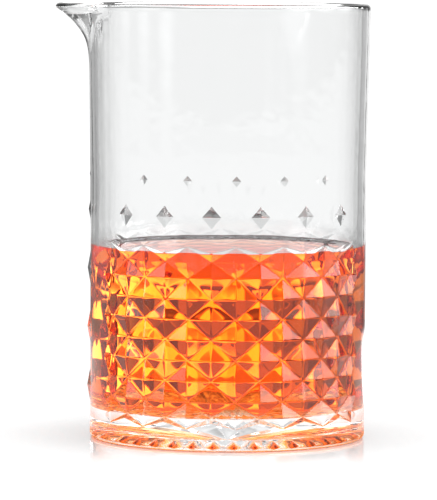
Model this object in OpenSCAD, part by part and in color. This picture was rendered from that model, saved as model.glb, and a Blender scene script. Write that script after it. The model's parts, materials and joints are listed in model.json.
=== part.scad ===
// Bar mixing glass: a straight pressed-glass tumbler with a pulled pouring lip, a heavy base,
// diamond relief on the front and back, and a measure of drink inside.
// Millimetres. The origin is the centre of the resting face and +Z is up.
// The front diamond panel faces -Y and the pouring lip points to -X.

/* [Glass] */
// Overall height, from the resting face to the rim
glass_h = 151; // [140:1:170]
// Outer radius of the straight wall
wall_r = 48; // [46:0.5:52]
// Thickness of the wall
wall_t = 3; // [2.6:0.1:3.4]
// Height at which the wall begins to flare towards the rim
flare_z = 92; // [90:1:115]
// Extra outer radius at the rim
flare = 1.1; // [0.5:0.1:1.5]
// Thickness of the solid glass base
base_h = 10.5; // [8:0.5:12]
// Radius of the rounded heel round the resting face
heel_r = 1.5; // [1:0.1:2.5]
// Radius of the fillet between the cavity's floor and its wall
floor_r = 4; // [3:0.5:5]

/* [Pouring lip] */
// Reach of the lip's tip past the rim
lip_reach = 11.4; // [9:0.1:13]
// How far below the rim the lip starts to swell out of the wall
lip_drop = 25; // [22:1:30]
// Radius of the lip's rounded nose, seen from above
nose_r = 19.5; // [18:0.5:22]

/* [Diamond relief] */
// Columns of diamonds in a full turn
columns = 18; // [18:2:20]
// Height of one diamond
diamond_h = 14; // [13:0.1:14.5]
// Depth of the valleys between the diamonds
valley_depth = 1.1; // [0.8:0.1:1.5]
// Height of the lowest valley crossing at the middle of a panel
relief_z = 16.6; // [16:0.1:17.5]

/* [Raised diamonds] */
// Height of the row of small diamonds
small_row_z = 91.7; // [90:0.1:95]
// Height of the row of medium diamonds
medium_row_z = 79.4; // [79:0.1:82]

/* [Drink] */
// Height of the drink's surface above the resting face
drink_z = 66.5; // [30:0.5:130]

/* [Hidden] */
$fn = 96;

glass_colour = [0.86, 0.9, 0.91, 0.45];
drink_colour = [0.98, 0.42, 0.08];

rim_r = wall_r + flare;
bore_r = wall_r - wall_t;
floor_edge = bore_r - floor_r;  // radius at which the cavity's floor starts to curve upwards
drink_clearance = 0.3;
over = 1; // how far a cutting shape runs past what it cuts

half_step = 180 / columns;  // angle from one column of diamonds to the next, offset one
half_row = diamond_h / 2;
panel_steps = 7;            // columns from the middle of a panel to its side border
low_row = -2;               // rows of lattice points, counted from relief_z
high_row = 8;
waist_row = 6.8;            // the top two rows, counted in half rows from relief_z
tip_row = 7.55;
zigzag = 2.2;               // how far the top and bottom borders dip between their tips
shelf = 0.1;                // how far outside the wall a border point lies
peak_inset = 0.05;          // how far inside the wall a diamond's peak stays
wide_border = 64.8;         // a panel's scalloped side border, in degrees from its middle
narrow_border = 61.3;
tip_z = 7.6;                // lowest tips of the relief, where the rows are squeezed together
waist_z = 11.3;             // height of the lowest row of valley crossings
foot_z = 5.5;               // where the wall's ring rests on the base

nose_centre = rim_r + lip_reach - nose_r;
nose_start = bore_r - nose_centre + 2;  // the nose's radius where it leaves the wall
lip_sector = 27;                        // half the angle that the lip's block takes up
lip_z = glass_h - lip_drop;

small_diamond = [3.6, 4.3, 0.4];   // width, height and rise
medium_diamond = [7.2, 8.3, 0.7];
large_diamond = [10, 12, 1.0];
large_rows = [18, 38.5, 59];       // heights of the large diamonds below the lip

function point(r, angle, z) = [r * sin(angle), -r * cos(angle), z];

// The points of an arc in a profile, from angle a to angle b.
function arc(centre, r, a, b, steps = 6) =
    [for (k = [0:steps]) let (t = a + (b - a) * k / steps)
        [centre[0] + r * cos(t), centre[1] + r * sin(t)]];

// ---- base ----

module base() {
    color(glass_colour)
        rotate_extrude()
            polygon(concat(
                [[0, 0]],
                arc([wall_r - heel_r, heel_r], heel_r, -90, 0),
                [[wall_r, foot_z], [floor_edge, foot_z], [floor_edge, base_h], [0, base_h]]));
}

// ---- wall and rim ----

// The wall's profile, from the base to the full-round rim. It is a plain tube of revolution whose
// thick lower ring goes round the base's raised middle.
module wall_profile() {
    round_z = glass_h - wall_t / 2;
    polygon(concat(
        [[floor_edge, foot_z], [wall_r, foot_z], [wall_r, flare_z]],
        arc([rim_r - wall_t / 2, round_z], wall_t / 2, 0, 180, 10),
        [[bore_r, flare_z]],
        arc([floor_edge, base_h + floor_r], floor_r, 0, -90)));
}

// The block of space that the pouring lip takes up in the ring of the wall.
module lip_block() {
    far = wall_r + 2 * lip_reach;
    half = far * tan(lip_sector);
    translate([0, 0, lip_z])
        linear_extrude(lip_drop + over)
            polygon([[0, 0], [-far, half], [-far, -half]]);
}

// ---- diamond relief ----

function is_peak(i, j) = abs(i + j) % 2 == 1;
function is_side(i) = abs(i) == panel_steps;
function is_border(i, j) = is_side(i) || j == high_row || j == low_row;
// The top two rows stand closer together than the others.
function row(j) = j == high_row ? tip_row : j == high_row - 1 ? waist_row : j;
// The top and bottom borders are zigzags, with their tips on the even columns.
function dip(i) = i % 2 == 0 ? 0 : zigzag;

function lattice_z(i, j) =
    j == high_row ? relief_z + half_row * tip_row - dip(i) :
    j == low_row ? tip_z + dip(i) :
    j == low_row + 1 ? waist_z :
    relief_z + half_row * row(j);
function lattice_r(i, j) =
    is_border(i, j) ? wall_r + shelf :
    is_peak(i, j) ? wall_r - peak_inset : wall_r - valley_depth;
function lattice_angle(i, j) =
    !is_side(i) ? i * half_step :
    sign(i) * (j % 2 == 0 ? wide_border : narrow_border) * half_step / 10;

// What is taken out of the wall to leave one panel of four-sided diamonds. Its inner face is the
// relief: each cell of the lattice is folded along the line that joins its two valley crossings.
module panel_cutter() {
    across = 2 * panel_steps + 1;
    up = high_row - low_row + 1;
    outer_r = wall_r + 4;
    points = [for (layer = [0, 1], j = [low_row:high_row], i = [-panel_steps:panel_steps])
        point(layer == 0 ? lattice_r(i, j) : outer_r, lattice_angle(i, j), lattice_z(i, j))];
    function id(layer, i, j) =
        (layer * up + j - low_row) * across + i + panel_steps;
    inner = [for (j = [low_row:high_row - 1], i = [-panel_steps:panel_steps - 1], half = [0, 1])
        let (a = id(0, i, j), b = id(0, i + 1, j), c = id(0, i + 1, j + 1), d = id(0, i, j + 1))
        is_peak(i, j) ? (half == 0 ? [a, b, d] : [b, c, d])
                      : (half == 0 ? [a, b, c] : [a, c, d])];
    outer = [for (j = [low_row:high_row - 1], i = [-panel_steps:panel_steps - 1])
        [id(1, i, j), id(1, i, j + 1), id(1, i + 1, j + 1), id(1, i + 1, j)]];
    ends = [for (i = [-panel_steps:panel_steps - 1]) each [
        [id(0, i, low_row), id(1, i, low_row), id(1, i + 1, low_row), id(0, i + 1, low_row)],
        [id(0, i, high_row), id(0, i + 1, high_row), id(1, i + 1, high_row), id(1, i, high_row)]]];
    sides = [for (j = [low_row:high_row - 1]) each [
        [id(0, -panel_steps, j), id(0, -panel_steps, j + 1),
            id(1, -panel_steps, j + 1), id(1, -panel_steps, j)],
        [id(0, panel_steps, j), id(1, panel_steps, j),
            id(1, panel_steps, j + 1), id(0, panel_steps, j + 1)]]];
    polyhedron(points, concat(inner, outer, ends, sides));
}

// One diamond that stands on the wall: a four-sided pyramid, rooted inside the glass.
module raised_diamond(size, angle, z) {
    root = wall_r - 1;
    half_angle = size[0] / 2 / wall_r * 180 / PI;
    half_h = size[1] / 2;
    foot = wall_r - peak_inset;
    polyhedron(
        [point(wall_r + size[2], angle, z),
            point(foot, angle - half_angle, z), point(foot, angle, z + half_h),
            point(foot, angle + half_angle, z), point(foot, angle, z - half_h),
            point(root, angle - half_angle, z), point(root, angle, z + half_h),
            point(root, angle + half_angle, z), point(root, angle, z - half_h)],
        concat(
            [for (k = [1:4]) [0, k, k % 4 + 1]],
            [for (k = [1:4]) [k, k + 4, k % 4 + 5, k % 4 + 1]],
            [[5, 8, 7, 6]]));
}

module raised_diamonds() {
    for (i = [-4:2:4]) raised_diamond(small_diamond, i * half_step, small_row_z);
    for (i = [-5:2:5]) raised_diamond(medium_diamond, i * half_step, medium_row_z);
    // The column below the pouring lip
    raised_diamond(small_diamond, -90, small_row_z);
    raised_diamond(medium_diamond, -90, medium_row_z);
    for (z = large_rows) raised_diamond(large_diamond, -90, z);
}

module wall() {
    color(glass_colour) {
        difference() {
            rotate_extrude() wall_profile();
            lip_block();
            panel_cutter();
            rotate([0, 0, 180]) panel_cutter();
        }
        raised_diamonds();
    }
}

// ---- pouring lip ----

// The nose's radius at a height above where it starts. It opens along an arc, like a bell.
function nose(z) =
    let (growth = nose_r - nose_start, bell_r = (lip_drop ^ 2 + growth ^ 2) / (2 * growth))
    nose_start + bell_r - sqrt(bell_r ^ 2 - z ^ 2);

// The nose as a solid of revolution about its own upright axis, thinned by less.
module nose_solid(less, top) {
    steps = 8;
    translate([-nose_centre, 0, lip_z])
        rotate_extrude()
            polygon(concat(
                [[0, 0]],
                [for (k = [0:steps]) [nose(lip_drop * k / steps) - less, top * k / steps]],
                [[0, top]]));
}

module pour_spout() {
    color(glass_colour)
        difference() {
            intersection() {
                union() {
                    rotate_extrude() wall_profile();
                    nose_solid(0, lip_drop);
                }
                lip_block();
            }
            nose_solid(wall_t, lip_drop);
            translate([0, 0, lip_z - over])
                cylinder(h = lip_drop + 2 * over, r = bore_r);
        }
}

// ---- drink ----

module drink() {
    r = bore_r - drink_clearance;
    color(drink_colour)
        rotate_extrude()
            polygon(concat(
                [[0, base_h]],
                arc([r - floor_r, base_h + floor_r], floor_r, -90, 0),
                [[r, drink_z], [0, drink_z]]));
}

base();
wall();
pour_spout();
drink();
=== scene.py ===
"""Looks for the mixing glass: clear pressed glass with diamond relief, half full of an orange drink.

Units are millimetres while the meshes are worked out, and metres once they are in Blender.
Angles are measured round the glass from the front (-Y), positive towards +X.
"""

import json
import math

import bmesh
import bpy
import numpy as np
from mathutils import Matrix, Vector, kdtree

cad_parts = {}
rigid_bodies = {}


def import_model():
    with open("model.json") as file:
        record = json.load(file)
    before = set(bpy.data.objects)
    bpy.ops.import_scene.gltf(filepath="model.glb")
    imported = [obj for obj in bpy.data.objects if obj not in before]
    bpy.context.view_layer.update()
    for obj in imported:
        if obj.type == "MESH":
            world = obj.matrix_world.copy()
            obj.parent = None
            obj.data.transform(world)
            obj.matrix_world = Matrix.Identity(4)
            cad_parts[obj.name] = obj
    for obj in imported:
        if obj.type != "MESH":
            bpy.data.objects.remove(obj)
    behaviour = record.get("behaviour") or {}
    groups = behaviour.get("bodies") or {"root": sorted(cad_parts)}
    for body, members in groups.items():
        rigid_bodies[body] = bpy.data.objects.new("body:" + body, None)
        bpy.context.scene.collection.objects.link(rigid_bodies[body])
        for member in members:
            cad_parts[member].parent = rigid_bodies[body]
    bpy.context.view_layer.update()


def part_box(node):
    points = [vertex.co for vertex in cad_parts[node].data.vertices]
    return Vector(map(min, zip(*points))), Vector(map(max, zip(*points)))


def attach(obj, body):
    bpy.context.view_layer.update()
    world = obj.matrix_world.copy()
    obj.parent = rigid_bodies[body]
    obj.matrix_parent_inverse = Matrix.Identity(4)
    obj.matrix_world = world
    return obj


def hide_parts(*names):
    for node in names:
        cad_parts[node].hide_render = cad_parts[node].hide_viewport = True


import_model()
BODY = "root"
MM = 0.001

# ---------------------------------------------------------------- sizes, from the CAD nodes
wall_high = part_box("wall")[1]
base_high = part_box("base")[1]
drink_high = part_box("drink")[1]
lip_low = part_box("pour_spout")[0]

GLASS_H = wall_high[2] / MM
WALL_R = base_high[0] / MM
BASE_H = base_high[2] / MM
DRINK_Z = drink_high[2] / MM
LIP_TIP = -lip_low[0] / MM
LIP_Z = lip_low[2] / MM
WALL_T = 3.0
BORE_R = WALL_R - WALL_T
FLARE_Z = 92.0
FLARE = 1.1
HEEL_R = 1.5
FLOOR_R = 4.0
NOSE_R = 19.5
NOSE_C = LIP_TIP - NOSE_R
NOSE_START = BORE_R - NOSE_C + 2

# Relief: valleys cross at every second place of a lattice, and the other places are peaks
RELIEF_Z = 16.6
HALF_ROW = 7.0
DEPTH = 1.1
COLUMNS = 36
HALF_STEP = 2 * math.pi / COLUMNS
PANEL = 6
SIDE_WIDE, SIDE_NARROW, SIDE_PLAIN = 6.48, 6.13, 7.6
LOWEST_Z, HIGHEST_Z = 4.8, 74
TIP_Z, WAIST_Z = 7.6, 11.3
UPPER_WAIST_Z, UPPER_TIP_Z = 64.2, 69.4
ZIGZAG = 2.2
SOFT = 0.03
REACH = 0.05

# Raised diamonds: width, height and rise of each size, and the heights that they stand at
SMALL, MEDIUM, LARGE = (3.6, 4.3, 0.4), (7.2, 8.3, 0.7), (10, 12, 1.0)
SMALL_ROW_Z = 91.7
MEDIUM_ROW_Z = 79.4
LARGE_ROWS = [18, 38.5, 59]
LIP_COLUMN = -9

# Cuts under the base: radius and depth, from the heel inwards
STARBURST = [(43.5, 0), (42, 1.0), (37, 2.6), (27, 2.4), (17, 1.4), (8, 0.7)]

# The drink reaches into the glass, so that no film of air lies between them
OVERLAP = 0.1
CLIMB, CLIMB_WIDTH = 0.8, 1.2

# Sides of a facet are divided at these places
SIDE_STEPS = [0, 0.06, 0.16, 0.39, 0.61, 0.84, 0.94]
ROUND_STEPS = 8
RIM_STEPS = 15
LIP_BLEND = 2.4

# Directions on the floor from the glass: to a painted pool of light close behind it, and along a painted
# bright strip
PAINTED_POOL_AXIS = (0.31, 0.95, 0)
PAINTED_STRIP_AXIS = (0.14, 0.99, 0)

# Four times the height of the arc that a flat facet cuts off, from one column to the next
FLAT_SAG = 4 * WALL_R * (1 - math.cos(HALF_STEP / 2))


# ---------------------------------------------------------------- relief of the outer wall
FIRST_ROW, LAST_ROW = -3, 9


def local_column(u):
    """Column counted from the middle of the nearest panel, -9 to 9."""
    return (u + 9) % 18 - 9


def node_angle(i, j):
    """Angle of a lattice crossing. A panel's side borders are scalloped."""
    local = local_column(i)
    size = abs(local)
    if size == 7:
        size = SIDE_WIDE if j % 2 == 0 else SIDE_NARROW
    elif size == 8:
        size = SIDE_PLAIN
    return (i - local + math.copysign(size, local)) * HALF_STEP


def node_z(i, j):
    """Height of a lattice crossing. The rows near a panel's zigzag borders stand closer together."""
    even = i % 2 == 0
    if j == FIRST_ROW:
        return LOWEST_Z
    if j == -2:
        return TIP_Z if even else TIP_Z + ZIGZAG
    if j == -1:
        return WAIST_Z
    if j == 7:
        return UPPER_WAIST_Z
    if j == 8:
        return UPPER_TIP_Z if even else UPPER_TIP_Z - ZIGZAG
    if j == LAST_ROW:
        return HIGHEST_Z
    return RELIEF_Z + HALF_ROW * j


def in_panel(i, j):
    return abs(local_column(i)) <= PANEL and -1 <= j <= 7


def node_height(i, j):
    """1 on a peak, a border or the plain wall, and 0 where valleys cross."""
    return 0 if in_panel(i, j) and (i + j) % 2 == 0 else 1


def node_flat(i, j):
    """1 where the facets are flat planes, 0 where the wall is round."""
    return 1 if in_panel(i, j) else 0


def valley_rises(i, j):
    """True if a cell's fold runs from its lower left to its upper right corner."""
    rises = (i + j) % 2 == 0
    if int(abs(local_column(i + 0.5))) == PANEL:
        rises = not rises
    return rises


def table(rule):
    """A rule's values at every lattice place, with a column to spare on each side."""
    rows = range(FIRST_ROW, LAST_ROW + 1)
    return np.array([[rule(i, j) for j in rows] for i in range(-1, COLUMNS + 2)], dtype=float)


ANGLES, HEIGHTS = table(node_angle), table(node_height)
LEVELS, FLATS = table(node_z), table(node_flat)
RISES = table(valley_rises) > 0.5


def spread(values, u, v):
    """Values at lattice places, carried over each flat facet from its three corners."""
    v = np.clip(v, FIRST_ROW, LAST_ROW - 1e-6)
    i, j = np.floor(u), np.floor(v)
    a, b = u - i, v - j
    column, row = i.astype(int) + 1, j.astype(int) - FIRST_ROW
    low, right = values[column, row], values[column + 1, row]
    up, far = values[column, row + 1], values[column + 1, row + 1]
    rising = np.where(a > b, low + (right - low) * a + (far - right) * b,
                      low + (far - up) * a + (up - low) * b)
    falling = np.where(a + b < 1, low + (right - low) * a + (up - low) * b,
                       far + (up - far) * (1 - a) + (right - far) * (1 - b))
    return np.where(RISES[column, row], rising, falling)


def relief_radius(u, v):
    """Radius of the outer wall at a lattice place, before the edges are softened."""
    part = u % 1
    sag = spread(FLATS, u, v) * FLAT_SAG * part * (1 - part)
    return WALL_R - DEPTH * (1 - spread(HEIGHTS, u, v)) - sag


def soft_radius(u, v):
    """The relief with every edge rounded."""
    total = 0
    for du in (-SOFT, 0, SOFT):
        for dv in (-SOFT, 0, SOFT):
            total = total + relief_radius(u + du, v + dv)
    return total / 9


def relief_point(u, v):
    angle, r = spread(ANGLES, u, v), soft_radius(u, v)
    return np.stack([r * np.sin(angle), -r * np.cos(angle), spread(LEVELS, u, v)], 1)


def relief_normal(u, v):
    """Unit normals of the relief, which turn evenly over each rounded edge."""
    v = np.clip(v, FIRST_ROW + REACH, LAST_ROW - REACH)
    across = relief_point(u + REACH, v) - relief_point(u - REACH, v)
    up = relief_point(u, v + REACH) - relief_point(u, v - REACH)
    normal = np.cross(across, up)
    return normal / np.linalg.norm(normal, axis=1)[:, None]


# ---------------------------------------------------------------- wall above the relief, and the lip
def smooth_max(a, b, k):
    """The larger of two, with the change from one to the other rounded over k."""
    h = np.clip(0.5 + 0.5 * (b - a) / k, 0, 1)
    return a * (1 - h) + b * h + k * h * (1 - h)


def nose_radius(z):
    """Radius of the lip's nose, which swells out of the wall in a curve like a bell's."""
    growth = NOSE_R - NOSE_START
    drop = GLASS_H - WALL_T / 2 - LIP_Z
    bell = (drop ** 2 + growth ** 2) / (2 * growth)
    rise = np.clip(z - LIP_Z, 0, drop)
    return NOSE_START + bell - np.sqrt(bell ** 2 - rise ** 2)


def lip_reach(angle, z, less):
    """Distance from the axis to the lip's nose, a circle seen from above."""
    off = angle + math.pi / 2
    across = NOSE_C * np.sin(off)
    room = (nose_radius(z) - less) ** 2 - across ** 2
    reach = NOSE_C * np.cos(off) + np.sqrt(np.clip(room, 0, None))
    return np.where(np.cos(off) > 0, reach, 0)


def flare(z):
    return FLARE * np.clip((z - FLARE_Z) / (GLASS_H - FLARE_Z), 0, 1)


def outer_radius(angle, z):
    wall = WALL_R + flare(z)
    return smooth_max(wall, lip_reach(angle, z, 0), LIP_BLEND)


def inner_radius(angle, z):
    bore = BORE_R + flare(z)
    return smooth_max(bore, lip_reach(angle, z, WALL_T), LIP_BLEND)


# ---------------------------------------------------------------- meshes
class Builder:
    """Collects lattice places and faces. A place asked for twice is kept once."""

    def __init__(self):
        self.ids = {}
        self.places = []
        self.faces = []

    def lattice(self, u, v):
        """Number of the point at a lattice place."""
        key = (round(u % COLUMNS, 5) % COLUMNS, round(v, 5))
        if key not in self.ids:
            self.ids[key] = len(self.places)
            self.places.append(key)
        return self.ids[key]


def inset(corners, amount):
    """A triangle's corners moved inwards, by a share of its height."""
    a, b, c = corners
    keep = 1 - 2 * amount
    return [(keep * a[k] + amount * b[k] + amount * c[k],
             keep * b[k] + amount * a[k] + amount * c[k],
             keep * c[k] + amount * a[k] + amount * b[k]) for k in (0, 1)]


def ring_of(builder, corners, amount):
    """Points round a triangle that has been moved inwards."""
    us, vs = inset(corners, amount)
    ring = []
    for k in range(3):
        n = (k + 1) % 3
        for t in SIDE_STEPS:
            ring.append(builder.lattice(us[k] + (us[n] - us[k]) * t, vs[k] + (vs[n] - vs[k]) * t))
    return ring


def add_facet(builder, corners, insets):
    """One flat facet: rings of faces along its edges, then a fan in its middle."""
    rings = [ring_of(builder, corners, amount) for amount in insets]
    count = len(rings[0])
    for outer, inner in zip(rings, rings[1:]):
        for k in range(count):
            n = (k + 1) % count
            builder.faces.append((outer[k], outer[n], inner[n], inner[k]))
    middle = builder.lattice(sum(c[0] for c in corners) / 3, sum(c[1] for c in corners) / 3)
    last = rings[-1]
    for k in range(count):
        builder.faces.append((last[k], last[(k + 1) % count], middle))


def build_lattice(builder):
    """Every facet of the outer wall's relief, all round the glass."""
    for i in range(COLUMNS):
        plain = int(abs(local_column(i + 0.5))) > PANEL
        insets = [0, 0.18] if plain else [0, 0.03, 0.07, 0.18]
        for j in range(FIRST_ROW, LAST_ROW):
            corners = [(i, j), (i + 1, j), (i + 1, j + 1), (i, j + 1)]
            if valley_rises(i, j):
                add_facet(builder, [corners[0], corners[1], corners[2]], insets)
                add_facet(builder, [corners[0], corners[2], corners[3]], insets)
            else:
                add_facet(builder, [corners[0], corners[1], corners[3]], insets)
                add_facet(builder, [corners[1], corners[2], corners[3]], insets)


def rows_between(low, high, step):
    """Even steps from low, which is left out, to high."""
    count = max(1, round((high - low) / step))
    return [low + (high - low) * k / count for k in range(1, count + 1)]


def glass_mesh():
    """The whole moulding but its raised diamonds, as one closed skin, and its normals."""
    builder = Builder()
    build_lattice(builder)
    places = np.array(builder.places)
    u, v = places[:, 0], places[:, 1]
    points = [relief_point(u, v)]
    normals = relief_normal(u, v)

    turns = np.array([i + t for i in range(COLUMNS) for t in SIDE_STEPS])
    angles = spread(ANGLES, turns, 0 * turns + LAST_ROW)
    total = len(places)
    faces = list(builder.faces)
    count = len(turns)

    def add_ring(radius, z):
        nonlocal total
        radius = radius + 0 * angles
        z = z + 0 * angles
        points.append(np.stack([radius * np.sin(angles), -radius * np.cos(angles), z], 1))
        ring = list(range(total, total + count))
        total += count
        return ring

    def join(lower, upper):
        for k in range(count):
            n = (k + 1) % count
            faces.append((lower[k], lower[n], upper[n], upper[k]))

    # Up the outside, over the full-round rim and down the inside
    round_z = GLASS_H - WALL_T / 2
    ring = [builder.lattice(t, LAST_ROW) for t in turns]
    start_z = node_z(0, LAST_ROW)
    heights = rows_between(start_z, FLARE_Z, 4) + rows_between(FLARE_Z, LIP_Z, 6)
    heights += rows_between(LIP_Z, round_z, 1.4)
    for z in heights:
        above = add_ring(outer_radius(angles, z), z)
        join(ring, above)
        ring = above
    outside = outer_radius(angles, round_z)
    inside = inner_radius(angles, round_z)
    for k in range(1, RIM_STEPS):
        s = math.pi * k / RIM_STEPS
        middle, half = (outside + inside) / 2, (outside - inside) / 2
        above = add_ring(middle + half * math.cos(s), round_z + WALL_T / 2 * math.sin(s))
        join(ring, above)
        ring = above
    down = [round_z] + rows_between(LIP_Z, round_z, 1.4)[-2::-1]
    down += [LIP_Z, 110, FLARE_Z, 80, DRINK_Z, 52, 38, 25]
    for z in down:
        below = add_ring(inner_radius(angles, z), z)
        join(ring, below)
        ring = below
    for k in range(ROUND_STEPS + 1):
        s = math.pi / 2 * k / ROUND_STEPS
        edge = BORE_R - FLOOR_R
        below = add_ring(edge + FLOOR_R * math.cos(s), BASE_H + FLOOR_R * (1 - math.sin(s)))
        join(ring, below)
        ring = below
    for radius in (36, 27, 17, 7):
        below = add_ring(radius, BASE_H)
        join(ring, below)
        ring = below
    points.append(np.array([[0, 0, BASE_H]]))
    for k in range(count):
        faces.append((ring[k], ring[(k + 1) % count], total))
    total += 1

    # Down the outside, round the heel and under the base
    ring = [builder.lattice(t, FIRST_ROW) for t in turns]
    for z in (3.2, HEEL_R):
        below = add_ring(WALL_R, z)
        join(below, ring)
        ring = below
    for k in range(1, ROUND_STEPS + 1):
        s = math.pi / 2 * k / ROUND_STEPS
        below = add_ring(WALL_R - HEEL_R * (1 - math.cos(s)), HEEL_R * (1 - math.sin(s)))
        join(below, ring)
        ring = below
    # The underside's starburst: a V-shaped cut runs in towards the middle from each column
    part = turns % 1
    cut = np.abs(2 * part - 1)
    for radius, depth in STARBURST:
        below = add_ring(radius, depth * (0.25 + 0.75 * cut))
        join(below, ring)
        ring = below
    points.append(np.array([[0, 0, 0.5]]))
    for k in range(count):
        faces.append((ring[(k + 1) % count], ring[k], total))

    mesh = bpy.data.meshes.new("glass")
    mesh.from_pydata((np.concatenate(points) * MM).tolist(), [], faces)
    mesh.update()
    mesh.polygons.foreach_set("use_smooth", [True] * len(mesh.polygons))
    shading = np.zeros(len(mesh.vertices) * 3, dtype=np.float32)
    mesh.vertex_normals.foreach_get("vector", shading)
    shading = shading.reshape(-1, 3)
    shading[:len(places)] = normals
    mesh.normals_split_custom_set_from_vertices(shading.tolist())
    # The second material is for the faces that the drink wets
    mesh.materials.append(None)
    mesh.materials.append(None)
    for polygon in mesh.polygons:
        place = polygon.center / MM
        if math.hypot(place.x, place.y) < BORE_R + 0.05 and BASE_H - 0.05 < place.z < DRINK_Z:
            polygon.material_index = 1
    return mesh, shading


def raised_diamond(width, height, rise, angle, z):
    """A four-sided pyramid that stands on the wall, rooted inside the glass."""
    half = width / 2 / WALL_R
    foot, root = WALL_R - 0.05, WALL_R - 1
    around = [(-half, 0), (0, height / 2), (half, 0), (0, -height / 2)]
    places = [(WALL_R + rise, 0, 0)]
    places += [(foot, a, h) for a, h in around] + [(root, a, h) for a, h in around]
    points = [(r * math.sin(angle + a), -r * math.cos(angle + a), z + h) for r, a, h in places]
    faces = [(0, k % 4 + 1, k) for k in range(1, 5)]
    faces += [(k, k % 4 + 1, k % 4 + 5, k + 4) for k in range(1, 5)]
    faces.append((5, 6, 7, 8))
    mesh = bpy.data.meshes.new("diamond")
    mesh.from_pydata([tuple(c * MM for c in p) for p in points], [], faces)
    shape = bmesh.new()
    shape.from_mesh(mesh)
    bmesh.ops.recalc_face_normals(shape, faces=shape.faces)
    shape.verts.ensure_lookup_table()
    ridges = list(shape.verts[0].link_edges)
    bmesh.ops.bevel(shape, geom=ridges, offset=0.12 * MM, segments=2, profile=0.5, affect="EDGES")
    shape.to_mesh(mesh)
    shape.free()
    return mesh


def add_raised_diamonds(item, known):
    """Joins the raised diamonds to the wall, and keeps the wall's own known normals."""
    mesh = item.data
    count = len(mesh.vertices)
    before = np.zeros(count * 3, dtype=np.float32)
    mesh.vertices.foreach_get("co", before)
    tree = kdtree.KDTree(count)
    for k, place in enumerate(before.reshape(-1, 3)):
        tree.insert(place, k)
    tree.balance()
    lip_angle = LIP_COLUMN * HALF_STEP
    diamonds = [(*SMALL, i * HALF_STEP, SMALL_ROW_Z) for i in range(-4, 5, 2)]
    diamonds += [(*MEDIUM, i * HALF_STEP, MEDIUM_ROW_Z) for i in range(-5, 6, 2)]
    diamonds += [(*SMALL, lip_angle, SMALL_ROW_Z), (*MEDIUM, lip_angle, MEDIUM_ROW_Z)]
    diamonds += [(*LARGE, lip_angle, z) for z in LARGE_ROWS]
    stones = bmesh.new()
    for spec in diamonds:
        stones.from_mesh(raised_diamond(*spec))
    tool_mesh = bpy.data.meshes.new("raised_diamonds")
    stones.to_mesh(tool_mesh)
    stones.free()
    tool = bpy.data.objects.new("raised_diamonds", tool_mesh)
    bpy.context.scene.collection.objects.link(tool)
    union = item.modifiers.new("union", "BOOLEAN")
    union.operation = "UNION"
    union.solver = "MANIFOLD"
    union.object = tool
    graph = bpy.context.evaluated_depsgraph_get()
    joined = bpy.data.meshes.new_from_object(item.evaluated_get(graph))
    item.modifiers.clear()
    bpy.data.objects.remove(tool)
    item.data = joined
    normals = []
    for polygon in joined.polygons:
        flat = on_diamond(polygon)
        for k in polygon.vertices:
            if flat:
                normals.append(tuple(polygon.normal))
                continue
            place = joined.vertices[k].co
            _, index, gap = tree.find(place)
            if gap < 1e-6:
                normals.append(tuple(known[index]))
            else:
                normals.append((place.x, place.y, 0))
    joined.polygons.foreach_set("use_smooth", [True] * len(joined.polygons))
    joined.normals_split_custom_set(normals)


def on_diamond(polygon):
    """True for a small face that stands proud of the plain wall and doesn't face straight outwards."""
    centre = polygon.center
    z = centre.z / MM
    radius = math.hypot(centre.x, centre.y) / MM
    proud = radius > WALL_R + 0.02 and radius > WALL_R + flare(z) + 0.015
    out = Vector((centre.x, centre.y, 0)).normalized()
    return proud and z < FLARE_Z + 5 and polygon.area < 4e-5 and polygon.normal.dot(out) <= 0.9995


def drink_mesh():
    """The liquid, with its surface curving up a little where it meets the glass."""
    count = 180
    r = BORE_R + OVERLAP
    edge = BORE_R - FLOOR_R
    profile = [(0, BASE_H - OVERLAP), (20, BASE_H - OVERLAP)]
    for k in range(ROUND_STEPS + 1):
        s = math.pi / 2 * k / ROUND_STEPS
        reach = FLOOR_R + OVERLAP
        profile.append((edge + reach * math.sin(s), BASE_H + FLOOR_R - reach * math.cos(s)))
    profile += [(r, 30), (r, 50)]
    for gap in (0, 0.12, 0.25, 0.4, 0.6, 0.85, 1.2, 1.6, 2.1, 2.8, 3.6, 4.6, 6, 8, 12, 25):
        profile.append((r - gap, DRINK_Z + CLIMB * math.exp(-gap / CLIMB_WIDTH)))
    profile.append((0, DRINK_Z))
    points = []
    rings = []
    for radius, z in profile:
        if radius == 0:
            rings.append([len(points)])
            points.append((0, 0, z))
            continue
        ring = []
        for k in range(count):
            a = 2 * math.pi * k / count
            ring.append(len(points))
            points.append((radius * math.sin(a), -radius * math.cos(a), z))
        rings.append(ring)
    faces = []
    for lower, upper in zip(rings, rings[1:]):
        for k in range(count):
            n = (k + 1) % count
            if len(lower) == 1:
                faces.append((lower[0], upper[n], upper[k]))
            elif len(upper) == 1:
                faces.append((lower[k], lower[n], upper[0]))
            else:
                faces.append((lower[k], lower[n], upper[n], upper[k]))
    mesh = bpy.data.meshes.new("drink_liquid")
    mesh.from_pydata((np.array(points) * MM).tolist(), [], faces)
    mesh.update()
    mesh.polygons.foreach_set("use_smooth", [True] * len(mesh.polygons))
    mesh.materials.append(None)
    return mesh


# ---------------------------------------------------------------- materials
def new_material(name):
    material = bpy.data.materials.new(name)
    material.use_nodes = True
    nodes = material.node_tree.nodes
    return material, nodes, material.node_tree.links, nodes["Principled BSDF"]


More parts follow.
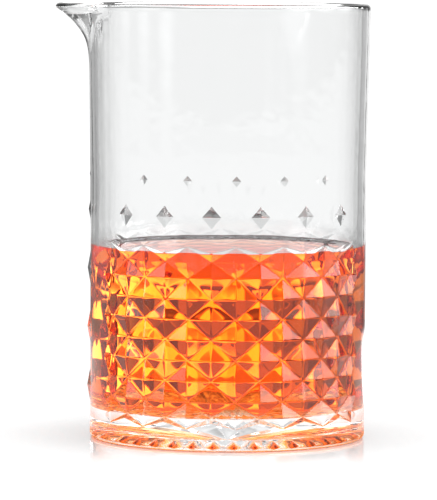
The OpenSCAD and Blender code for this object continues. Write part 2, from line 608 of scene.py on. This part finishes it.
def glass_material(name, reflection):
    """Clear glass. Where the drink wets it, it reflects only at a grazing angle."""
    material, nodes, links, shader = new_material(name)
    shader.inputs["Specular Tint"].default_value = (reflection, reflection, reflection, 1)
    shader.inputs["Base Color"].default_value = (0.985, 0.99, 0.99, 1)
    shader.inputs["Roughness"].default_value = 0.0
    shader.inputs["IOR"].default_value = 1.52
    shader.inputs["Transmission Weight"].default_value = 1.0
    place = nodes.new("ShaderNodeTexCoord")
    waves = nodes.new("ShaderNodeTexNoise")
    waves.inputs["Scale"].default_value = 90
    waves.inputs["Detail"].default_value = 2
    bump = nodes.new("ShaderNodeBump")
    bump.inputs["Strength"].default_value = 0.12
    bump.inputs["Distance"].default_value = 0.0004
    links.new(place.outputs["Object"], waves.inputs["Vector"])
    links.new(waves.outputs["Fac"], bump.inputs["Height"])
    links.new(bump.outputs["Normal"], shader.inputs["Normal"])
    return material


def drink_material(name):
    """Clear orange liquid. Of its faces, only the open surface reflects as liquid does in air."""
    material, nodes, links, shader = new_material(name)
    shader.inputs["Base Color"].default_value = (1, 1, 1, 1)
    place = nodes.new("ShaderNodeTexCoord").outputs["Object"]
    level = nodes.new("ShaderNodeVectorMath")
    level.operation = "MULTIPLY"
    level.inputs[1].default_value = (1, 1, 0)
    links.new(place, level.inputs[0])
    reach = nodes.new("ShaderNodeVectorMath")
    reach.operation = "LENGTH"
    links.new(level.outputs["Vector"], reach.inputs[0])
    height = nodes.new("ShaderNodeSeparateXYZ")
    links.new(place, height.inputs["Vector"])
    inside = calculate(nodes, links, "LESS_THAN", reach.outputs["Value"], (BORE_R + 0.05) * MM)
    high = calculate(nodes, links, "GREATER_THAN", height.outputs["Z"], (DRINK_Z - 5) * MM)
    links.new(calculate(nodes, links, "MULTIPLY", inside, high), shader.inputs["Specular Tint"])
    shader.inputs["Roughness"].default_value = 0.0
    shader.inputs["IOR"].default_value = 1.34
    shader.inputs["Transmission Weight"].default_value = 1.0
    absorb = nodes.new("ShaderNodeVolumeAbsorption")
    absorb.inputs["Color"].default_value = (0.991, 0.615, 0.06, 1)
    absorb.inputs["Density"].default_value = 70
    links.new(absorb.outputs["Volume"], nodes["Material Output"].inputs["Volume"])
    return material


def map_range(nodes, links, source, low, high, to_low, to_high):
    """Smooth change from one value to another while the source goes from low to high."""
    node = nodes.new("ShaderNodeMapRange")
    node.interpolation_type = "SMOOTHSTEP"
    node.inputs["From Min"].default_value = low
    node.inputs["From Max"].default_value = high
    node.inputs["To Min"].default_value = to_low
    node.inputs["To Max"].default_value = to_high
    links.new(source, node.inputs["Value"])
    return node.outputs["Result"]


def calculate(nodes, links, operation, *sources):
    """A Math node's result. A source is a number or a socket."""
    node = nodes.new("ShaderNodeMath")
    node.operation = operation
    for k, source in enumerate(sources):
        if isinstance(source, (int, float)):
            node.inputs[k].default_value = source
        else:
            links.new(source, node.inputs[k])
    return node.outputs[0]


def towards(nodes, links, source, axis):
    """Cosine of the angle between a direction and an axis."""
    unit = nodes.new("ShaderNodeVectorMath")
    unit.operation = "NORMALIZE"
    links.new(source, unit.inputs[0])
    node = nodes.new("ShaderNodeVectorMath")
    node.operation = "DOT_PRODUCT"
    links.new(unit.outputs["Vector"], node.inputs[0])
    node.inputs[1].default_value = tuple(axis)
    return node.outputs["Value"]


def floor_material():
    """White and glossy near the glass, and blown out to plain white further away. The glass and the drink
    see a painted glow on it instead.
    """
    material, nodes, links, shader = new_material("white_floor")
    shader.inputs["Base Color"].default_value = (0.68, 0.68, 0.68, 1)
    shader.inputs["Roughness"].default_value = 0.08
    shader.inputs["IOR"].default_value = 1.45
    shader.inputs["Emission Color"].default_value = (1, 1, 1, 1)
    shader.inputs["Emission Strength"].default_value = 0.02
    geometry = nodes.new("ShaderNodeNewGeometry")
    length = nodes.new("ShaderNodeVectorMath")
    length.operation = "LENGTH"
    links.new(geometry.outputs["Position"], length.inputs[0])
    away = length.outputs["Value"]
    plain = nodes.new("ShaderNodeEmission")
    plain.inputs["Color"].default_value = (1, 1, 1, 1)
    plain.inputs["Strength"].default_value = 1.1
    seen = nodes.new("ShaderNodeMixShader")
    links.new(map_range(nodes, links, away, 0.05, 0.11, 0, 1), seen.inputs["Fac"])
    links.new(shader.outputs["BSDF"], seen.inputs[1])
    links.new(plain.outputs["Emission"], seen.inputs[2])

    # What the glass and the drink see of it is painted light: a glow that is white round the glass, then a
    # painted pool of light close behind it, and beyond that a strip straight behind that starts with
    # painted shade and turns bright, with grey on both sides
    to_patch = towards(nodes, links, geometry.outputs["Position"], PAINTED_POOL_AXIS)
    painted_light_pool = map_range(nodes, links, to_patch, 0.91, 0.99, 0.92, 6.5)
    to_strip = towards(nodes, links, geometry.outputs["Position"], PAINTED_STRIP_AXIS)
    bright = map_range(nodes, links, to_strip, 0.9, 0.985, 0, 0.56)
    grey = map_range(nodes, links, to_strip, 0.4, 0.75, 0.85, 0.42)
    strip = calculate(nodes, links, "ADD", bright, grey)
    not_far = map_range(nodes, links, away, 0.8, 1.1, 0.62, 0)
    painted_shade_stretch = calculate(nodes, links, "MULTIPLY", not_far, map_range(nodes, links, to_strip, 0.8, 0.93, 0, 1))
    strip = calculate(nodes, links, "MULTIPLY", strip, calculate(nodes, links, "SUBTRACT", 1, painted_shade_stretch))
    near = map_range(nodes, links, away, 0.1, 0.16, 1, 0)
    far = map_range(nodes, links, away, 0.28, 0.44, 0, 1)
    level = calculate(nodes, links, "MULTIPLY_ADD", near, 1.1, 0)
    middle = calculate(nodes, links, "SUBTRACT", calculate(nodes, links, "SUBTRACT", 1, near), far)
    level = calculate(nodes, links, "MULTIPLY_ADD", middle, painted_light_pool, level)
    level = calculate(nodes, links, "MULTIPLY_ADD", far, strip, level)
    # A painted glow: the floor gives off this light itself, for every ray but the camera's
    painted_floor_glow = nodes.new("ShaderNodeEmission")
    # Painted orange light on the floor under the glass, in place of light that has come through the drink
    painted_drink_light_ramp = nodes.new("ShaderNodeValToRGB")
    painted_drink_light_ramp.color_ramp.elements[0].color = (1.0, 0.32, 0.08, 1)
    painted_drink_light_ramp.color_ramp.elements[1].color = (1, 1, 1, 1)
    links.new(map_range(nodes, links, away, 0.046, 0.068, 0, 1), painted_drink_light_ramp.inputs["Fac"])
    links.new(painted_drink_light_ramp.outputs["Color"], painted_floor_glow.inputs["Color"])
    links.new(level, painted_floor_glow.inputs["Strength"])
    path = nodes.new("ShaderNodeLightPath")
    mix = nodes.new("ShaderNodeMixShader")
    links.new(path.outputs["Is Camera Ray"], mix.inputs["Fac"])
    links.new(painted_floor_glow.outputs["Emission"], mix.inputs[1])
    links.new(seen.outputs["Shader"], mix.inputs[2])
    links.new(mix.outputs["Shader"], nodes["Material Output"].inputs["Surface"])
    return material


def new_object(name, mesh, *materials):
    item = bpy.data.objects.new(name, mesh)
    bpy.context.scene.collection.objects.link(item)
    for k, material in enumerate(materials):
        mesh.materials[k] = material
    return item


dry_glass = glass_material("clear_pressed_glass", 1.0)
wet_glass = glass_material("clear_pressed_glass_wet", 0.0)
moulding, moulding_normals = glass_mesh()
glass = new_object("glass_moulding", moulding, dry_glass, wet_glass)
add_raised_diamonds(glass, moulding_normals)
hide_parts("base", "wall", "pour_spout")
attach(glass, BODY)

drink = new_object("drink_liquid", drink_mesh(), drink_material("orange_drink"))
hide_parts("drink")
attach(drink, BODY)

# ---------------------------------------------------------------- floor
bpy.ops.mesh.primitive_plane_add(size=30, location=(0, 0, -0.0001))
floor = bpy.context.object
floor.name = "floor"
floor.data.materials.append(floor_material())

# ---------------------------------------------------------------- light
world = bpy.data.worlds.new("studio")
world.use_nodes = True
bpy.context.scene.world = world
wn, wl = world.node_tree.nodes, world.node_tree.links
wn.clear()
out = wn.new("ShaderNodeOutputWorld")
direction = wn.new("ShaderNodeTexCoord").outputs["Generated"]


def soft_light(total, azimuth, elevation, inner, outer, brightness):
    """Adds a round soft light to the studio's dome, full within the inner angle and gone at the outer.

    Azimuth 0 is the camera's side, and 90 is the right.
    """
    a, e = math.radians(azimuth), math.radians(elevation)
    axis = (math.sin(a) * math.cos(e), -math.cos(a) * math.cos(e), math.sin(e))
    near = towards(wn, wl, direction, axis)
    low, high = math.cos(math.radians(outer)), math.cos(math.radians(inner))
    return calculate(wn, wl, "ADD", total, map_range(wn, wl, near, low, high, 0, brightness))


level = calculate(wn, wl, "ADD", 0.3, 0)
# Behind the glass, low and higher, then overhead, above the camera and on the left
level = soft_light(level, 176.7, 3, 6, 20, 0.65)
level = soft_light(level, 176.7, 34, 12, 30, 0.45)
level = soft_light(level, 180, 80, 25, 60, 2.6)
level = soft_light(level, 0, 48, 12, 36, 1.8)
level = soft_light(level, 287, 20, 10, 22, 3.6)
# A wide bright window on the right
for azimuth in (55, 80, 105):
    level = soft_light(level, azimuth, 18, 9, 20, 6.0)
studio = wn.new("ShaderNodeBackground")
wl.new(level, studio.inputs["Strength"])
backdrop = wn.new("ShaderNodeBackground")
backdrop.inputs["Color"].default_value = (1, 1, 1, 1)
backdrop.inputs["Strength"].default_value = 1.1
path = wn.new("ShaderNodeLightPath")
mix = wn.new("ShaderNodeMixShader")
wl.new(path.outputs["Is Camera Ray"], mix.inputs["Fac"])
wl.new(studio.outputs[0], mix.inputs[1])
wl.new(backdrop.outputs[0], mix.inputs[2])
wl.new(mix.outputs[0], out.inputs["Surface"])

# ---------------------------------------------------------------- camera
camera_data = bpy.data.cameras.new("camera")
camera_data.sensor_width = 36
camera_data.lens = 282.4
camera_data.clip_start = 0.05
camera_data.clip_end = 20
camera = bpy.data.objects.new("camera", camera_data)
bpy.context.scene.collection.objects.link(camera)
bpy.context.scene.camera = camera
STAND = math.radians(-3.27)
DISTANCE = 1.366
CAMERA_Z = 0.1666
PAN = math.radians(0.14)
TILT = 0.0742
ROLL = 0.0063
spot = Vector((DISTANCE * math.sin(STAND), -DISTANCE * math.cos(STAND), CAMERA_Z))
turn = Matrix.Rotation(STAND + PAN, 4, "Z")
tip = Matrix.Rotation(math.pi / 2 - TILT, 4, "X")
roll = Matrix.Rotation(ROLL, 4, "Z")
camera.matrix_world = Matrix.Translation(spot) @ turn @ tip @ roll

# ---------------------------------------------------------------- picture settings
scene = bpy.context.scene
scene.view_settings.view_transform = "Standard"
scene.view_settings.look = "None"
scene.cycles.max_bounces = 24
scene.cycles.transmission_bounces = 24
scene.cycles.transparent_max_bounces = 16
scene.cycles.glossy_bounces = 12
